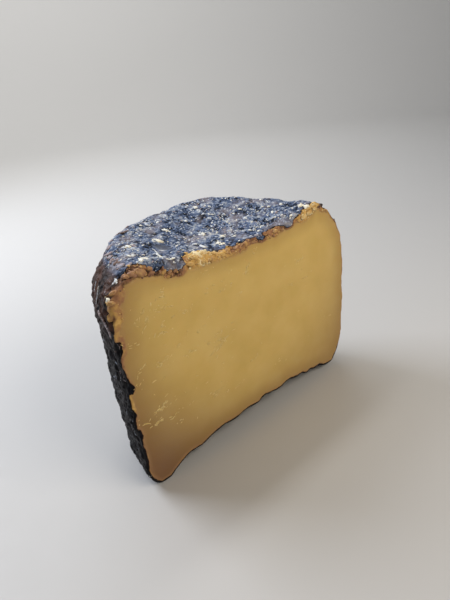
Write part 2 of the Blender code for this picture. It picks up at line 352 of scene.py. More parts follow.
def makeCheeseBody():
    piece = copyHalfWheel()
    guide = readGuide(piece)
    creases = piece.data.attributes.new("crease_edge", "FLOAT", "EDGE")
    for edge in piece.data.edges:
        creases.data[edge.index].value = float(tuple(sorted(edge.vertices)) in guide["outline"])
    applyModifier(piece, "SUBSURF", levels=body["smoothLevels"], render_levels=body["smoothLevels"])
    applyModifier(piece, "REMESH", mode="VOXEL", voxel_size=body["voxel"])
    weighRelief(piece, guide)
    smooth = BVHTree.FromPolygons([vertex.co.copy() for vertex in piece.data.vertices],
                                  [tuple(face.vertices) for face in piece.data.polygons])
    for number, (group, kind, size, height, stays, settings) in enumerate(body["relief"]):
        texture = bpy.data.textures.new(f"{group}{number}", kind)
        texture.noise_scale = size * mm
        for name, value in settings.items():
            setattr(texture, name, value)
        applyModifier(piece, "DISPLACE", texture=texture, vertex_group=group, strength=height * mm,
                      mid_level=stays, texture_coords="LOCAL")
    triangles = sum(len(face.vertices) - 2 for face in piece.data.polygons)
    applyModifier(piece, "DECIMATE", ratio=body["triangles"] / triangles, use_collapse_triangulate=True)
    piece.vertex_groups.clear()
    return piece, guide, smooth


def markFields(piece, guide, smooth):
    # what the material reads: the distances from the outline, shares, tone, painted shade towards the lower
    # left and height of the relief
    points = meshArray(piece.data.vertices, "co", 3)
    vectors = [Vector(point) for point in points]
    gap, up = readFields(guide, vectors)
    rindReach, bandReach, tone = crustReach(points)
    x, z = points[:, 0] / mm - paste["leastShadedPlace"][0], points[:, 2] / mm - paste["leastShadedPlace"][1]
    spared = ramp(x, *paste["shadeSparedRightFrom"])
    relief = []
    for point in vectors:
        place, normal = smooth.find_nearest(point)[:2]
        relief.append((point - place).dot(normal) / mm)
    fields = {"cutGap": gap, "rindReach": rindReach, "bandReach": bandReach,
              "topShare": mouldShare(points, up, gap), "crustTone": tone,
              "pressed": 1 - dentEdge(points, *body["dentColour"]),
              "lowerLeftShade": ramp(np.hypot(x, z), *paste["shadeRadius"]) * (1 - paste["shadeSparedRight"] * spared),
              "relief": relief}
    for name, values in fields.items():
        giveAttribute(piece, name, values)
    return fields


def rindLook(tree, place, attribute):
    # natural rind: a blue-grey felt of mould on top, its blue partly a painted sheen of cool light, and a
    # bald, dark, waxy skin round the side
    patch = addNode(tree, "TexNoise", {"Vector": place, "Scale": 1 / (8 * mm), "Detail": 3.0})
    grain = addNode(tree, "TexNoise", {"Vector": place, "Scale": 1 / (2.5 * mm), "Detail": 3.0,
                                       "Roughness": 0.55, "Distortion": 1.0})
    blend = addNode(tree, "Mix", {0: 0.38, 2: grain, 3: patch})
    # the relief makes the colour darker in its hollows: painted shade in the pits
    relief = addNode(tree, "MapRange", {"Value": attribute["relief"], "From Min": -0.9, "From Max": 0.9,
                                        "To Min": -0.12, "To Max": 0.12})
    level = addNode(tree, "Math", {0: blend, 1: relief}, operation="ADD")
    # blue-grey mould, its blue partly painted: the sheen of cool light on the top
    topColour = addNode(tree, "ValToRGB", {"Fac": level}, stops=[
        (0.37, "#12151b"), (0.42, "#2b364a"), (0.48, "#4a5a78"), (0.54, "#6b7890"), (0.60, "#989fa9"),
        (0.67, "#d2d4d1")])
    earthy = addNode(tree, "TexNoise", {"Vector": place, "Scale": 1 / (13 * mm), "Detail": 2.0})
    earthy = addNode(tree, "MapRange", {"Value": earthy, "From Min": 0.52, "From Max": 0.7, "To Max": 0.6})
    topColour = addNode(tree, "Mix", {0: earthy, 6: topColour, 7: hexColour("#8f888c")},
                        data_type="RGBA", out=2)
    # the pressed dent is smooth and grey
    pressed = addNode(tree, "Math", {0: attribute["pressed"], 1: 0.8}, operation="MULTIPLY")
    topColour = addNode(tree, "Mix", {0: pressed, 6: topColour, 7: hexColour("#53565f")},
                        data_type="RGBA", out=2)

    # round the side it is nearly black, with paler scuffs on what stands out and painted shade in the hollows
    # of the relief
    tall = addNode(tree, "Mapping", {"Vector": place, "Scale": (1, 1, 0.35)})
    scuff = addNode(tree, "TexNoise", {"Vector": tall, "Scale": 1 / (2.0 * mm), "Detail": 4.0,
                                       "Roughness": 0.6})
    sideLevel = addNode(tree, "Math", {0: scuff, 1: relief}, operation="ADD")
    sideColour = addNode(tree, "ValToRGB", {"Fac": sideLevel}, stops=[
        (0.40, "#030408"), (0.56, "#080a12"), (0.65, "#17181e"), (0.72, "#413d3e"), (0.80, "#9c958e")])
    # and brown in patches near the shoulder
    height = addNode(tree, "SeparateXYZ", {0: place}, out="Z")
    wander = addNode(tree, "TexNoise", {"Vector": place, "Scale": 1 / (30 * mm)})
    height = addNode(tree, "Math", {0: wander, 1: 60 * mm, 2: height}, operation="MULTIPLY_ADD")
    high = addNode(tree, "MapRange", {"Value": height, "From Min": 118 * mm, "From Max": 150 * mm,
                                      "To Min": 0.06, "To Max": 1.0}, interpolation_type="SMOOTHSTEP")
    brown = addNode(tree, "MapRange", {"Value": patch, "From Min": 0.34, "From Max": 0.62})
    brown = addNode(tree, "Math", {0: brown, 1: high}, operation="MULTIPLY")
    sideColour = addNode(tree, "Mix", {0: brown, 6: sideColour, 7: hexColour("#563b2f")}, data_type="RGBA",
                         blend_type="SCREEN", out=2)
    colour = addNode(tree, "Mix", {0: attribute["topShare"], 6: sideColour, 7: topColour},
                     data_type="RGBA", out=2)
    return colour, addNode(tree, "Math", {0: grain, 1: 0.6}, operation="MULTIPLY")


# Tone and colour of the broken crust
crustTones = [(0.0, "#241812"), (0.2, "#5e4333"), (0.4, "#9a7052"), (0.55, "#ab8355"), (0.7, "#c09858"),
              (0.85, "#d3ae6c"), (1.0, "#e6d4a8")]


def crustLook(tree, place, attribute):
    # broken crust just under the rind: dry lumps, brown in some stretches and cream or ochre in others
    crumb = addNode(tree, "TexNoise", {"Vector": place, "Scale": 1 / (3.6 * mm), "Detail": 2.0})
    mottle = addNode(tree, "MapRange", {"Value": crumb, "From Min": 0.3, "From Max": 0.7, "To Min": -0.2,
                                        "To Max": 0.2})
    # darker in the hollows of the relief: painted shade in the crevices between the lumps
    depth = addNode(tree, "MapRange", {"Value": attribute["relief"], "From Min": -1.3, "From Max": 0.2,
                                       "To Min": -0.3, "To Max": 0.05})
    level = addNode(tree, "Math", {0: mottle, 1: depth}, operation="ADD")
    level = addNode(tree, "Math", {0: level, 1: attribute["crustTone"]}, operation="ADD")
    colour = addNode(tree, "ValToRGB", {"Fac": level}, stops=crustTones)
    return colour, crumb


paste = {
    "leastShadedPlace": (0, 100),  # x and z in mm of the least shaded place on the cut
    "shadeRadius": (55, 128),  # mm from it over which painted shade darkens the paste
    "shadeSparedRight": 0.5,  # how much of that painted shade the right side is spared
    "shadeSparedRightFrom": (0, 60),  # x over which that comes in
}


def pasteLook(tree, place, attribute):
    # firm pressed paste, moist and a little see-through, browner where it dried near the rind, partly painted
    # shade just past the crust, and darker towards the lower left and the foot as painted shade
    inner = addNode(tree, "Math", {0: attribute["rindReach"], 1: attribute["bandReach"]}, operation="ADD")
    bare = addNode(tree, "Math", {0: attribute["cutGap"], 1: inner}, operation="SUBTRACT")
    # just past the crust the paste is browner: partly its own browning, partly painted shade under the
    # crust's edge
    rimmed = addNode(tree, "MapRange", {"Value": bare, "From Min": 0.3, "From Max": 2.6, "To Min": 0.34,
                                        "To Max": 0.0}, interpolation_type="SMOOTHSTEP")
    dryNear = addNode(tree, "MapRange", {"Value": bare, "From Min": 1.0, "From Max": 13.0, "To Min": 0.3,
                                         "To Max": 0.0}, interpolation_type="SMOOTHSTEP")
    cloud = addNode(tree, "TexNoise", {"Vector": place, "Scale": 1 / (22 * mm), "Detail": 4.0})
    colour = addNode(tree, "ValToRGB", {"Fac": cloud}, stops=[
        (0.3, "#caab64"), (0.5, "#d0b16b"), (0.7, "#d4b672")])
    # painted shade: the paste grows darker towards its lower left and the foot, away from the least shaded
    # place
    colour = addNode(tree, "Mix", {0: attribute["lowerLeftShade"], 6: colour, 7: hexColour("#7d5d48")},
                     data_type="RGBA", out=2)
    colour = addNode(tree, "Mix", {0: dryNear, 6: colour, 7: hexColour("#8d693a")}, data_type="RGBA", out=2)
    colour = addNode(tree, "Mix", {0: rimmed, 6: colour, 7: hexColour("#a98460")}, data_type="RGBA", out=2)
    across = addNode(tree, "Mapping", {"Vector": place, "Rotation": (0, math.radians(12), 0),
                                       "Scale": (0.14, 1, 1)})
    streak = addNode(tree, "TexNoise", {"Vector": across, "Scale": 1 / (1.8 * mm), "Detail": 2.0})
    return colour, addNode(tree, "Math", {0: streak, 1: 0.1}, operation="MULTIPLY")


def makeCheeseMaterial():
    material, tree = newMaterial("mouldyRindAndPressedPaste")
    place = addNode(tree, "TexCoord", out="Object")
    names = ("cutGap", "rindReach", "bandReach", "topShare", "crustTone", "pressed", "lowerLeftShade", "relief")
    attribute = {name: addNode(tree, "Attribute", attribute_name=name, out="Fac") for name in names}
    rindColour, rindHeight = rindLook(tree, place, attribute)
    crustColour, crustHeight = crustLook(tree, place, attribute)
    pasteColour, pasteHeight = pasteLook(tree, place, attribute)
    # the outline is ragged: more so where a wide band of crust broke away
    rag = addNode(tree, "TexNoise", {"Vector": place, "Scale": 1 / (3.2 * mm), "Detail": 3.0})
    rag = addNode(tree, "Math", {0: rag, 1: 0.5}, operation="SUBTRACT")
    swing = addNode(tree, "Math", {0: attribute["bandReach"], 1: 0.45, 2: 1.3}, operation="MULTIPLY_ADD")
    ragged = addNode(tree, "Math", {0: rag, 1: swing, 2: attribute["cutGap"]}, operation="MULTIPLY_ADD")
    pastRind = addNode(tree, "Math", {0: ragged, 1: attribute["rindReach"]}, operation="SUBTRACT")
    inside = addNode(tree, "MapRange", {"Value": pastRind, "From Min": -0.1, "From Max": 0.15})
    pastBand = addNode(tree, "Math", {0: pastRind, 1: attribute["bandReach"]}, operation="SUBTRACT")
    bare = addNode(tree, "MapRange", {"Value": pastBand, "From Min": -0.7, "From Max": 0.8},
                   interpolation_type="SMOOTHSTEP")
    # the rind's own thickness shows dark just inside the outline; the dark band is widened with painted shade
    # under the rind's overhanging lip and along the foot
    rindSectionAndShade = addNode(tree, "MapRange", {"Value": pastRind, "From Min": -1.0, "From Max": -0.45})
    rindColour = addNode(tree, "Mix", {0: rindSectionAndShade, 6: rindColour, 7: hexColour("#15110f")},
                         data_type="RGBA", out=2)
    colour = addNode(tree, "Mix", {0: bare, 6: crustColour, 7: pasteColour}, data_type="RGBA", out=2)
    colour = addNode(tree, "Mix", {0: inside, 6: rindColour, 7: colour}, data_type="RGBA", out=2)
    height = addNode(tree, "Mix", {0: bare, 2: crustHeight, 3: pasteHeight})
    height = addNode(tree, "Mix", {0: inside, 2: rindHeight, 3: height})
    bump = addNode(tree, "Bump", {"Height": height, "Distance": 1 * mm, "Strength": 0.9})
    rindRoughness = addNode(tree, "MapRange", {"Value": attribute["topShare"], "To Min": 0.45,
                                               "To Max": 0.55})
    roughness = addNode(tree, "MapRange", {"Value": bare, "To Min": 0.62, "To Max": 0.46})
    roughness = addNode(tree, "Mix", {0: inside, 2: rindRoughness, 3: roughness})
    glow = addNode(tree, "Math", {0: bare, 1: 0.3}, operation="MULTIPLY")
    shader = addNode(tree, "BsdfPrincipled", {
        "Base Color": colour, "Roughness": roughness, "Normal": bump, "Subsurface Weight": glow,
        "Subsurface Radius": (4 * mm, 2.2 * mm, 0.9 * mm), "Subsurface Scale": 1.0, "IOR": 1.45,
        "Specular IOR Level": 0.1})
    addNode(tree, "OutputMaterial", {"Surface": shader})
    return material


def modelLumps(kinds, subdivisions, roughness, stretch):
    # rough lumps one unit long, each modelled from an ico sphere and kept as arrays of points and faces
    lumps = []
    for kind in range(kinds):
        bpy.ops.object.select_all(action="DESELECT")
        bpy.ops.mesh.primitive_ico_sphere_add(subdivisions=subdivisions, radius=0.5)
        lump = bpy.context.object
        bpy.ops.object.mode_set(mode="EDIT")
        bpy.ops.mesh.select_all(action="SELECT")
        bpy.ops.transform.vertex_random(offset=roughness, uniform=0.5, normal=0.0, seed=kind)
        bpy.ops.transform.resize(value=stretch)
        bpy.ops.mesh.normals_make_consistent(inside=False)
        bpy.ops.object.mode_set(mode="OBJECT")
        lumps.append((meshArray(lump.data.vertices, "co", 3),
                      meshArray(lump.data.loops, "vertex_index", 1, np.int32).reshape(-1, 3)))
        bpy.data.meshes.remove(lump.data)
    return lumps


def joinLumps(name, lumps, copies):
    # each copy has a place, a normal, a heading, a size and a tint; all of them become one mesh
    points, faces, tints, used = [], [], [], 0
    for number, (place, normal, along, size, tint) in enumerate(copies):
        lumpPoints, lumpFaces = lumps[number % len(lumps)]
        side = np.cross(normal, along)
        side /= np.linalg.norm(side)
        axes = np.stack([np.cross(side, normal), side, normal])
        points.append((lumpPoints * size) @ axes + place)
        faces.append(lumpFaces + used)
        tints.append(np.full(len(lumpPoints), tint))
        used += len(lumpPoints)
    mesh = bpy.data.meshes.new(name)
    mesh.from_pydata(np.concatenate(points).tolist(), [], np.concatenate(faces).tolist())
    piece = bpy.data.objects.new(name, mesh)
    bpy.context.scene.collection.objects.link(piece)
    giveAttribute(piece, "tint", np.concatenate(tints))
    return piece


def readSurface(piece, fields):
    # the triangles of the cheese, with what each of them is near, for strewing small things over it
    corners = meshArray(piece.data.polygons, "vertices", 3, np.int32)
    points = meshArray(piece.data.vertices, "co", 3)
    surface = {name: np.asarray(values)[corners].mean(1) for name, values in fields.items()}
    surface["corners"] = points[corners]
    surface["area"] = meshArray(piece.data.polygons, "area", 1)
    surface["middle"] = surface["corners"].mean(1)
    return surface


def strew(surface, smooth, weights, count, draw):
    # random places over the surface, more of them where the weights are higher, each with its smooth normal
    share = surface["area"] * weights
    chosen = draw.choice(len(share), count, p=share / share.sum())
    parts = draw.dirichlet((1, 1, 1), count)
    places = np.einsum("ij,ijk->ik", parts, surface["corners"][chosen])
    normals = [np.array(smooth.find_nearest(Vector(place))[1]) for place in places]
    return places, normals, chosen


def snap(smooth, x, y, z):
    place, normal = smooth.find_nearest(Vector((x * mm, y * mm, z * mm)))[:2]
    return np.array(place), np.array(normal)


def heading(draw, normal):
    aim = draw.normal(size=3)
    return aim - normal * aim.dot(normal)


flecks = {
    "seed": 5,
    "large": (340, 1.6, 3.8),  # count, and smallest and largest length in mm
    "small": (2200, 0.7, 2.5),
    "glintStreaks": (360, 1.2, 4.6),  # thin pale ones that run up and down the side rind: pale mould, and painted glints along its folds
    "patch": 11 * mm,  # spacing of the thick and thin places
    "thin": (0.25, -0.3, 0.5),  # share in the thin places, and noise over which the thick ones come in
    "thinStreaks": (0.1, -0.1, 0.4),  # the same for the streaks
    "onSide": 0.01,  # share of the top's flecks that the side has
    "fromEdge": (0.4, 1.5),  # mm inside the rind's edge over which they come in
    "fromDent": (0.9, 1.3),  # shares of the dent's radius over which they do
    "aboveFoot": (0.01, 0.03),  # height over which the streaks come in
    "nearCut": (0, 0.03),  # distance in front of the middle over which there are more streaks
    "nearCutMore": 3,  # and how many times more
    "bits": 7,  # pieces that each named one is made of
    "sweep": np.array([1.8, 0.5, 0]),  # the way in which most of them are smeared
    # tints: 0 brown, 0.3 pinkish, 0.5 blue-grey, 0.9 white, 1 cream
    "tints": ([0.3, 0.56, 0.7, 0.92], [0.1, 0.36, 0.34, 0.2]),  # of the strewn ones, and how common each is
    "streakTints": [0.24, 0.32, 0.58],
    # x, y, z and length in mm, and tint
    "named": [(-36.9, -12.9, 129.7, 8.6, 1.0), (-61.2, -38.2, 133.3, 5.4, 0.95),
              (-64.5, -39.7, 133.7, 4.6, 0.92), (-7.7, -15.5, 125.1, 5.6, 0.92),
              (-0.3, -24.5, 123.8, 5.2, 0.98), (-9.2, -31.4, 123.5, 5, 0.98),
              (-8.7, -34.3, 123.3, 4.4, 1.0), (-20.5, -32.2, 125, 5.6, 0.85),
              (-21.1, -25.4, 125.4, 4.6, 0.8), (-22.9, -0.1, 129.5, 4.6, 0.92),
              (-28.5, 11.1, 132.8, 5.6, 0.65), (-33.2, 10.3, 133.7, 3, 0.95), (-40.3, -1.3, 131.8, 4, 0.95),
              (10.6, 13.6, 132.8, 5, 0.92), (-57.8, -16.2, 133.9, 4.4, 0.92),
              (-65.6, -30.4, 134.1, 4, 0.92), (-63, -29.9, 133.6, 4, 0.88), (-4.1, 4.7, 129.2, 4, 0.88),
              (54, -38.6, 130.5, 5.6, 1.0), (55.4, -43, 129.8, 4.8, 1.0), (49.6, -25.7, 130.6, 5, 0.88),
              (29.8, -8.8, 130, 3.8, 0.92), (38.5, -29, 128.7, 3.6, 0.85), (24, -19.4, 127.3, 3.8, 0.85),
              (22.4, -35.7, 125.3, 3.4, 0.85), (14.7, -33.2, 124.6, 3.4, 0.85),
              (11.5, -0.4, 130.3, 3.6, 0.88), (-48.1, 6.5, 134.7, 5.5, 0.14), (-87.7, -42, 122, 3.6, 1.0),
              (-80, -40, 128.4, 3.4, 0.8)],
    # tint, length and width of each fleck in mm, then the points that a line of them runs through
    "lines": [(0.85, 1.5, 0.8, [(-48.4, -25, 131), (-49, -28.7, 130.9), (-50.9, -33, 131)]),
              (0.92, 2.1, 1.5, [(-50.9, -33, 131), (-52.5, -38.3, 130.9), (-52.2, -41.5, 130.4)]),
              (0.92, 2.2, 1.8, [(-52.2, -41.5, 130.4), (-49.5, -43, 130), (-46.9, -42.4, 129.7)]),
              (0.85, 1.6, 1.0, [(-46.9, -42.4, 129.7), (-44.6, -39.5, 129.4)]),  # round the dent
              # a tan streak down a fold of the side rind, partly a painted highlight along the fold
              (0.27, 3.6, 3.4, [(-89, -33, 112.5), (-89.5, -37, 109.5), (-89.5, -39.5, 106)]),
              (0.24, 2.6, 1.6, [(-89.5, -39.5, 106), (-89.8, -42.2, 102)]),
              # whitish streaks near the top of the side rind: painted highlights
              (0.85, 1.3, 0.45, [(-88.5, -24, 125), (-90, -26, 120), (-90.3, -27, 116)]),
              (0.75, 1.1, 0.4, [(-87.5, -16, 127), (-89.5, -19, 121)])],
}


def makeMouldFlecks(surface, smooth):
    draw = np.random.default_rng(flecks["seed"])
    onRind = ramp(surface["rindReach"] - surface["cutGap"], *flecks["fromEdge"])
    patches = np.array([noise.noise(Vector(point) / flecks["patch"]) for point in surface["middle"]])
    undented = dentEdge(surface["middle"], *flecks["fromDent"])
    few, *thick = flecks["thin"]
    cover = onRind * undented * (surface["topShare"] + flecks["onSide"]) * (few + ramp(patches, *thick))
    tints, common = flecks["tints"]
    copies = []
    for kind in ("large", "small"):
        count, shortest, longest = flecks[kind]
        places, normals = strew(surface, smooth, cover, count, draw)[:2]
        for place, normal in zip(places, normals):
            length = shortest + (longest - shortest) * draw.random() ** 2.2
            size = np.array([1, 0.35 + 0.4 * draw.random(), 0.12 + 0.14 * draw.random()]) * length * mm
            tint = draw.choice(tints, p=common) + 0.05 * draw.normal()
            copies.append((place, normal, heading(draw, normal) + flecks["sweep"], size, tint))
    # painted glints: the thin pale streaks on the side rind, more of them towards the front
    count, shortest, longest = flecks["glintStreaks"]
    nearCut = 1 + flecks["nearCutMore"] * ramp(-surface["middle"][:, 1], *flecks["nearCut"])
    aboveFoot = ramp(surface["middle"][:, 2], *flecks["aboveFoot"])
    few, *thick = flecks["thinStreaks"]
    side = nearCut * onRind * (1 - surface["topShare"]) * (few + ramp(patches, *thick)) * aboveFoot
    places, normals = strew(surface, smooth, side, count, draw)[:2]
    for place, normal in zip(places, normals):
        length = shortest + (longest - shortest) * draw.random() ** 2
        size = np.array([length, 0.2 + 0.3 * draw.random(), 0.2]) * mm
        leaning = np.array([0.25 * draw.normal(), 0.25 * draw.normal(), 1])
        tint = draw.choice(flecks["streakTints"]) + 0.05 * draw.normal()
        copies.append((place, normal, leaning, size, tint))
    for x, y, z, length, tint in flecks["named"]:
        place, normal = snap(smooth, x, y, z)
        along = heading(draw, normal)
        for part in range(flecks["bits"]):
            shift = heading(draw, normal) * length * 0.2 * mm * (part > 0)
            size = np.array([0.9, 0.6, 0.16]) * length * mm * (1 if part == 0 else 0.3 + 0.3 * draw.random())
            copies.append((place + shift, normal, along + 0.3 * heading(draw, normal), size,
                           tint + 0.03 * draw.normal()))
    for tint, length, width, points in flecks["lines"]:
        for start, end in zip(np.array(points), np.array(points[1:])):
            steps = int(np.linalg.norm(end - start) / (0.55 * length)) + 1
            for step in range(steps):
                spot = start + (end - start) * step / steps + 0.12 * draw.normal(size=3)
                place, normal = snap(smooth, *spot)
                size = np.array([length, width, 0.3 * length]) * (0.7 + 0.6 * draw.random()) * mm
                copies.append((place, normal, end - start, size, tint + 0.04 * draw.normal()))
    return joinLumps("mouldFlecks", modelLumps(7, 1, 0.16, (1, 0.9, 1)), copies)


crumbs = {
    "seed": 9,
    "large": (90, 1.4, 2.6),  # count, and smallest and largest length in mm
    "small": (520, 0.45, 1.3),
    "crustEdges": ((-1.2, 0), (-0.6, 0.8)),  # mm round the crust's two edges over which they come in and out
    "crustWidths": (1, 3),  # a narrow crust has fewer than a wide one
    "most": ((118, 122), (-82, -76)),  # z and x over which the many crumbs of the top come in
    "elsewhere": 0.12,  # share of them that the rest of the crust has
    "lumpParts": (1, 0.7, 0.55, 0.4),  # sizes of the parts that a named lump is made of
    # x, y, z and length in mm, and tone from 0, dark brown, to 1, cream
    "named": [(-77, -42, 130.4, 4, 0.4), (-73, -43.5, 130.2, 5, 0.44), (-68.5, -44.3, 129.6, 7.5, 0.48),
              (-63.5, -45, 127.4, 4, 0.4), (-56.5, -45.4, 125.6, 4, 0.56), (-53, -45.4, 124.6, 3.2, 0.48),
              (-49.5, -45.4, 124, 2.8, 0.4), (-46, -45.4, 123.4, 2.6, 0.4), (-39.5, -45, 124, 4, 0.78),
              (-36, -43, 125.5, 4.5, 0.88), (-32, -41, 126.2, 6, 0.94), (-31, -45.2, 122.6, 4, 0.78),
              (-26.5, -40, 126, 5.5, 0.96), (-25, -45.2, 121.8, 4, 0.74), (-21, -42, 124.6, 5, 0.86),
              (-17, -45.2, 121.4, 3.6, 0.66), (-12, -43, 123.4, 4, 0.58), (-6, -43.5, 123.4, 4.4, 0.56),
              (0, -45, 122.4, 4, 0.5), (6, -46, 122.2, 3, 0.5), (19, -46, 121.4, 3, 0.56),
              (24.5, -44.5, 123.4, 4, 0.66), (30, -46, 122.6, 3, 0.5), (45, -45.5, 124, 4, 0.68),
              (50, -45.2, 124.8, 5, 0.86), (55, -45, 126, 5, 0.9), (60, -45, 127.4, 4.4, 0.8),
              (64.5, -45, 128, 3.4, 0.3), (67.5, -45, 128.6, 3.2, 0.02), (72, -45.4, 123, 3.4, 0.6),
              (81, -45.4, 114.4, 2.6, 0.24), (-84, -42.5, 124.5, 4, 0.5), (-86.5, -43.5, 120, 4.4, 0.6)],
}


def makeRindCrumbs(surface, smooth):
    draw = np.random.default_rng(crumbs["seed"])
    x, z = surface["middle"][:, 0] / mm, surface["middle"][:, 2] / mm
    gap, band = surface["cutGap"] - surface["rindReach"], surface["bandReach"]
    (inner, outer), (high, right) = crumbs["crustEdges"], crumbs["most"]
    cover = ramp(gap, *inner) * (1 - ramp(gap - band, *outer)) * ramp(band, *crumbs["crustWidths"])
    cover *= crumbs["elsewhere"] + (1 - crumbs["elsewhere"]) * ramp(z, *high) * ramp(x, *right)
    copies = []
    for kind in ("large", "small"):
        count, shortest, longest = crumbs[kind]
        places, normals, chosen = strew(surface, smooth, cover, count, draw)
        for place, normal, tone in zip(places, normals, surface["crustTone"][chosen]):
            length = shortest + (longest - shortest) * draw.random() ** 2
            size = np.array([1, 0.6 + 0.35 * draw.random(), 0.5 + 0.3 * draw.random()]) * length * mm
            copies.append((place, normal, heading(draw, normal), size, tone + 0.16 * draw.normal()))
    return joinLumps("rindCrumbs", modelLumps(7, 1, 0.2, (1, 0.9, 1)), copies)


def makeCrustLumps(smooth):
    # the large rounded pieces of crust that stand out along the broken edge
    draw = np.random.default_rng(crumbs["seed"])
    copies = []
    for x, y, z, length, tone in crumbs["named"]:
        place, normal = snap(smooth, x, y, z)
        along = np.array([1, 0, 0.3 * draw.normal()])
        for part, share in enumerate(crumbs["lumpParts"]):
            shift = np.array([draw.normal(), 0, 0.35 * draw.normal()]) * 0.3 * length * mm * (part > 0)
            size = np.array([1.0, 0.62, 0.48]) * length * mm * share
            sunk = place + shift - normal * 0.07 * length * mm
            turned = along + 0.4 * heading(draw, normal)
            copies.append((sunk, normal, turned, size, tone + 0.05 * draw.normal()))
    return joinLumps("crustLumps", modelLumps(6, 3, 0.09, (1, 0.9, 1)), copies)


nubs = {
    "seed": 3,
    "parts": (1, 0.7, 0.5),  # sizes of the parts that a knuckle is made of
    # x, y, z and length in mm of the pinkish knuckles along the rim
    "places": [(-68.3, -13.1, 132.8, 5), (-71, -19.5, 133, 4.4), (-73, -25.5, 133.2, 4.2),
               (-73.8, -30.4, 133.3, 5), (-73.6, -35.5, 132.8, 4.6), (-71.5, -39.3, 132.3, 4),
               (-64, -4.5, 133, 4.4), (-58.5, 3.5, 133.6, 5), (-51, 11.5, 134, 4.6), (-42, 18.5, 134, 5),
               (-31, 24.5, 134, 4.6)],
}


def makeRimNubs(smooth):
    draw = np.random.default_rng(nubs["seed"])
    copies = []
    for x, y, z, length in nubs["places"]:
        place, normal = snap(smooth, x, y, z)
        for part, share in enumerate(nubs["parts"]):
            shift = heading(draw, normal) * 0.22 * length * mm * (part > 0)
            size = np.array([0.9, 0.62, 0.24]) * length * mm * share * (0.55 + 0.7 * draw.random())
            copies.append((place + shift, normal, heading(draw, normal), size, 0.29 + 0.07 * draw.normal()))
    return joinLumps("rimNubs", modelLumps(4, 3, 0.08, (1, 1, 1)), copies)


slivers = {
    "seed": 12,
    "loose": 90,  # single ones
    "groups": 52,
    "inGroup": (4, 12),
    "length": (0.9, 3.6),  # mm
    "groupLength": 4.5,  # mm along the knife's stroke
    "groupWidth": 1.3,  # and across it
    "groupCloseness": 0.6,  # share of both that a group really spreads
    "stroke": (14, 16),  # degrees up to the right, and how much it differs
    # x and z in mm of the busiest places on the cut
    "busy": [(-77.6, 77.2), (-66, 72.1), (-38.4, 71), (-73, 52.8), (-54, 34.5), (-30.3, 37.4), (-26, 68.3),
             (76.3, 46.5), (-78, 112), (-66, 108), (-52, 100), (-40, 108), (-22, 104), (-12, 112), (40, 96)],
    "busyRadius": 9,
    "quiet": 0.1,  # share of them elsewhere
    "fromCrust": (1, 3),  # mm past the crust over which they come in
    "aboveFoot": (24, 40),  # z over which they do
    "fromRight": (-84, -60),  # and how far from the right end, as minus x
    "facing": -0.8,  # they lie where the surface faces the front at least this much
}


def makePasteSlivers(surface, smooth):
    # thin shavings that the knife left lying on the cut, most of them in small groups along its stroke
    draw = np.random.default_rng(slivers["seed"])
    x, z = surface["middle"][:, 0] / mm, surface["middle"][:, 2] / mm
    crowd = slivers["quiet"] + sum(
        np.exp(-((x - busyX) ** 2 + (z - busyZ) ** 2) / (2 * slivers["busyRadius"] ** 2))
        for busyX, busyZ in slivers["busy"])
    pastCrust = surface["cutGap"] - surface["rindReach"] - surface["bandReach"]
    cover = ramp(pastCrust, *slivers["fromCrust"]) * crowd
    cover *= ramp(z, *slivers["aboveFoot"]) * ramp(-x, *slivers["fromRight"])
    centres = strew(surface, smooth, cover, slivers["loose"] + slivers["groups"], draw)[0]
    copies = []
    for number, centre in enumerate(centres):
        stroke = math.radians(slivers["stroke"][0] + slivers["stroke"][1] * draw.normal())
        along = np.array([math.cos(stroke), 0, math.sin(stroke)])
        across = np.array([-math.sin(stroke), 0, math.cos(stroke)])
        count = 1 if number < slivers["loose"] else draw.integers(*slivers["inGroup"])
        for _ in range(count):
            apart = slivers["groupLength"] * draw.normal() * along
            apart = apart + slivers["groupWidth"] * draw.normal() * across
            apart = apart * slivers["groupCloseness"] * (count > 1)
            place, normal = snap(smooth, *(centre / mm + apart))
            if normal[1] > slivers["facing"]:
                continue
            shortest, longest = slivers["length"]
            length = shortest + (longest - shortest) * draw.random() ** 1.6
            size = np.array([length, (0.3 + 0.32 * draw.random()) * length ** 0.5, 0.22]) * mm
            turned = along + across * 0.45 * draw.normal()
            copies.append((place, normal, turned, size, draw.random()))
    return joinLumps("pasteSlivers", modelLumps(6, 1, 0.24, (1, 0.9, 1)), copies)


def tintedMaterial(name, stops, grainSize, roughness, glow):
    # small dry or moist bits, each of its own tint
    material, tree = newMaterial(name)
    place = addNode(tree, "TexCoord", out="Object")
    tint = addNode(tree, "Attribute", attribute_name="tint", out="Fac")
    grain = addNode(tree, "TexNoise", {"Vector": place, "Scale": 1 / grainSize, "Detail": 2.0})
    shade = addNode(tree, "MapRange", {"Value": grain, "From Min": 0.3, "From Max": 0.7, "To Min": -0.12,
                                       "To Max": 0.12})
    level = addNode(tree, "Math", {0: tint, 1: shade}, operation="ADD")
    colour = addNode(tree, "ValToRGB", {"Fac": level}, stops=stops)
    bump = addNode(tree, "Bump", {"Height": grain, "Distance": 0.4 * mm})
    shader = addNode(tree, "BsdfPrincipled", {
        "Base Color": colour, "Roughness": roughness, "Normal": bump, "Subsurface Weight": glow,
        "Subsurface Radius": (2 * mm, 1.2 * mm, 0.6 * mm), "Subsurface Scale": 1.0, "IOR": 1.45})
    addNode(tree, "OutputMaterial", {"Surface": shader})
    return material


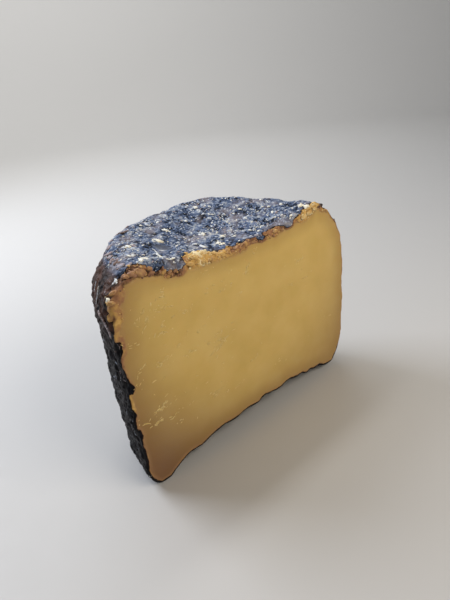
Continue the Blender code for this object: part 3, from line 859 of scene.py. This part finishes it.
studio = {
    "floorRadius": 1.5,
    "bend": 0.9,  # radius of the curve from floor to wall
    "bendSteps": 12,
    "wallHeight": 3.0,
    "floorColour": "#b9b8b6",
    # name, place, where it points, side length, watts, colour
    "lights": [("keyLight", (0.13, -0.5, 0.45), (0, 0, 0.065), 0.4, 2.5, "#fff4e4"),
               ("backLight", (-0.3, 0.6, 0.7), (0, 0, 0.1), 0.5, 8, "#eaf0fc"),
               ("wallLight", (0.2, 0.7, 1.7), (0.2, 2.4, 0.5), 1.2, 40, "#ffffff")],
    "world": "#c8c8ca",
    "worldStrength": 0.34,
}
camera = {
    "place": (-0.16937, -0.23440, 0.21467),
    # the ways in which the right and the top of its frame point
    "right": (0.74799, -0.65582, -0.10201),
    "up": (0.36262, 0.27507, 0.89042),
    "lens": 28.45,
}


def makeFloor():
    # one plain pale sheet: a round floor that curves up into a wall all the way round
    bpy.ops.object.select_all(action="DESELECT")
    bpy.ops.mesh.primitive_circle_add(vertices=128, radius=studio["floorRadius"], fill_type="NGON")
    floor = bpy.context.object
    floor.name = "studioFloor"
    bpy.ops.object.mode_set(mode="EDIT")
    bpy.ops.mesh.select_all(action="SELECT")
    bpy.ops.mesh.region_to_loop()
    reach, height, steps = studio["floorRadius"], 0.0, studio["bendSteps"]
    for step in range(1, steps + 2):
        turn = math.pi / 2 * min(step / steps, 1)
        newReach = studio["floorRadius"] + studio["bend"] * math.sin(turn)
        newHeight = studio["bend"] * (1 - math.cos(turn)) if step <= steps else studio["wallHeight"]
        bpy.ops.mesh.extrude_edges_move(TRANSFORM_OT_translate={"value": (0, 0, newHeight - height)})
        bpy.ops.transform.resize(value=(newReach / reach, newReach / reach, 1),
                                 center_override=(0, 0, newHeight))
        reach, height = newReach, newHeight
    bpy.ops.mesh.select_all(action="SELECT")
    bpy.ops.mesh.normals_make_consistent(inside=True)
    bpy.ops.object.mode_set(mode="OBJECT")
    bpy.ops.object.shade_smooth_by_angle(angle=math.radians(30))
    # matte paint: pale, even and almost without shine
    material, tree = newMaterial("mattePaintedFloor")
    place = addNode(tree, "TexCoord", out="Object")
    grain = addNode(tree, "TexNoise", {"Vector": place, "Scale": 60.0})
    roughness = addNode(tree, "MapRange", {"Value": grain, "To Min": 0.55, "To Max": 0.65})
    shader = addNode(tree, "BsdfPrincipled", {"Base Color": hexColour(studio["floorColour"]),
                                              "Roughness": roughness})
    addNode(tree, "OutputMaterial", {"Surface": shader})
    floor.data.materials.append(material)


def makeLights():
    for name, place, aim, side, watts, colour in studio["lights"]:
        lamp = bpy.data.lights.new(name, "AREA")
        lamp.size = side
        lamp.energy = watts
        lamp.color = hexColour(colour)[:3]
        light = bpy.data.objects.new(name, lamp)
        light.location = place
        light.rotation_euler = (Vector(aim) - Vector(place)).to_track_quat("-Z", "Y").to_euler()
        bpy.context.scene.collection.objects.link(light)
    world = bpy.data.worlds.new("studioWorld")
    world.use_nodes = True
    background = world.node_tree.nodes["Background"]
    background.inputs["Color"].default_value = hexColour(studio["world"])
    background.inputs["Strength"].default_value = studio["worldStrength"]
    bpy.context.scene.world = world
    bpy.context.scene.view_settings.view_transform = "Standard"


def makeCamera():
    lens = bpy.data.cameras.new("camera")
    lens.lens = camera["lens"]
    lens.clip_start = 0.01
    eye = bpy.data.objects.new("camera", lens)
    right, up = Vector(camera["right"]), Vector(camera["up"])
    turned = Matrix((right, up, right.cross(up))).transposed().to_4x4()
    eye.matrix_world = Matrix.Translation(camera["place"]) @ turned
    bpy.context.scene.collection.objects.link(eye)
    bpy.context.scene.camera = eye


makeCamera()
makeFloor()
makeLights()
print("stage, lights and camera are ready")

cheeseBody, guide, smooth = makeCheeseBody()
fields = markFields(cheeseBody, guide, smooth)
dress(cheeseBody, makeCheeseMaterial())
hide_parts("half_wheel")
print("cheese body:", len(cheeseBody.data.polygons), "triangles")

surface = readSurface(cheeseBody, fields)
# dried mould: dull and powdery, from brown and pinkish grey to white
driedMould = tintedMaterial("driedMould", [
    (0.0, "#3a2c26"), (0.18, "#7b6257"), (0.32, "#a5989b"), (0.5, "#8b97ac"), (0.72, "#c0c6d0"),
    (0.9, "#eceeea"), (1.0, "#f0e8cf")], 0.8 * mm, 0.7, 0.0)
dress(makeMouldFlecks(surface, smooth), driedMould)
dress(makeRimNubs(smooth), driedMould)
print("mould flecks and rim nubs are in place")
# dry crust: dull and crumbly, from dark brown to cream
driedCrust = tintedMaterial("driedCrustCrumbs", crustTones, 2.4 * mm, 0.58, 0.15)
dress(makeRindCrumbs(surface, smooth), driedCrust)
dress(makeCrustLumps(smooth), driedCrust)
print("crust crumbs and lumps are in place")
# moist shavings: a little paler and glossier than the paste under them
moistShaving = tintedMaterial("moistPasteShavings", [
    (0.0, "#cfb16b"), (0.5, "#d5b976"), (1.0, "#dfc688")], 3 * mm, 0.42, 0.0)
dress(makePasteSlivers(surface, smooth), moistShaving)
print("paste slivers are strewn")
